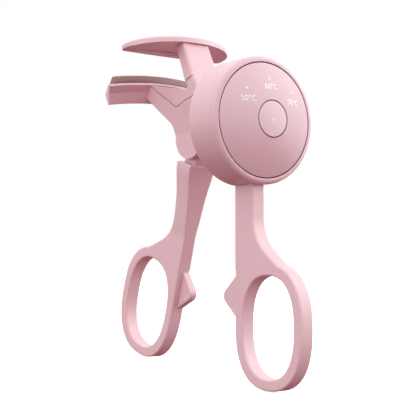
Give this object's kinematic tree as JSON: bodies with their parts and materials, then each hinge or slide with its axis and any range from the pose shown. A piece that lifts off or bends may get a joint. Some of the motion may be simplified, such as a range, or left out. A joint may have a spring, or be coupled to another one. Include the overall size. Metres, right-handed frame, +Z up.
{
  "type": "heated eyelash curler",
  "caption": "Scissor-type heated eyelash curler with two finger loops, a round control drum with a push button, a curved visor jaw and a padded heated lower jaw.",
  "frame": {"origin": "centre of the bottom of the bounding box, at the lowest point of the front finger loop", "axes": "+Z up along the handles, +X across the jaws, -Y the way the round control face looks"},
  "size_m": [0.0426, 0.0972, 0.1146],
  "materials": {
    "shell_pink": "satin moulded plastic",
    "cap_pink": "high gloss",
    "button_pink": "satin",
    "light_pipe": "clear white",
    "pad": "soft matt silicone",
    "steel": "bright steel",
    "brass": "turned",
    "washer": "natural nylon",
    "board": "solder mask",
    "chip": "epoxy",
    "led": "white package",
    "switch_body": "black",
    "plunger": "white",
    "cell": "foil pouch",
    "foam": "open-cell foam",
    "port_shell": "drawn steel",
    "port_tongue": "black",
    "heater_metal": "milled",
    "film": "amber polyimide",
    "bead": "epoxy bead",
    "lead": "white insulation"
  },
  "bodies": {
    "body": {"drum_housing": "shell_pink", "front_bezel": "shell_pink", "face_cap": "cap_pink", "indicator_light_pipes": "light_pipe", "front_handle": "shell_pink", "handle_screws": "steel", "circuit_board": "board", "board_screws": "steel", "tact_switch": "switch_body", "indicator_leds": "led", "controller_chip": "chip", "battery_foam": "foam", "battery": "cell", "battery_leads": "lead", "charging_port": "port_shell", "port_tongue": "port_tongue", "jaw_arm_left": "shell_pink", "jaw_arm_right": "shell_pink", "jaw_insert": "shell_pink", "arm_screws": "steel", "lower_jaw": "shell_pink", "silicone_pad": "pad", "heater_plate": "heater_metal", "heating_film": "film", "thermistor": "bead", "heater_leads": "lead", "pivot_pin": "steel", "pivot_washers": "washer"},
    "lever": {"jaw_stem": "shell_pink", "hub_bushing": "brass", "rear_handle": "shell_pink", "lever_screws": "steel", "upper_jaw": "shell_pink"},
    "button": {"power_button": "button_pink", "switch_plunger": "plunger"}
  },
  "joints": [
    {"name": "lever_hinge", "type": "hinge", "parent": "body", "child": "lever", "pos_m": [0, 0.00334, 0.0805], "axis": [-1, 0, 0], "range_deg": [0, 18]},
    {"name": "button_press", "type": "slide", "parent": "body", "child": "button", "axis": [0, 1, 0], "range_m": [0, 0.0005], "stiffness_N_per_m": 1000, "springref_m": -0.0005}
  ]
}
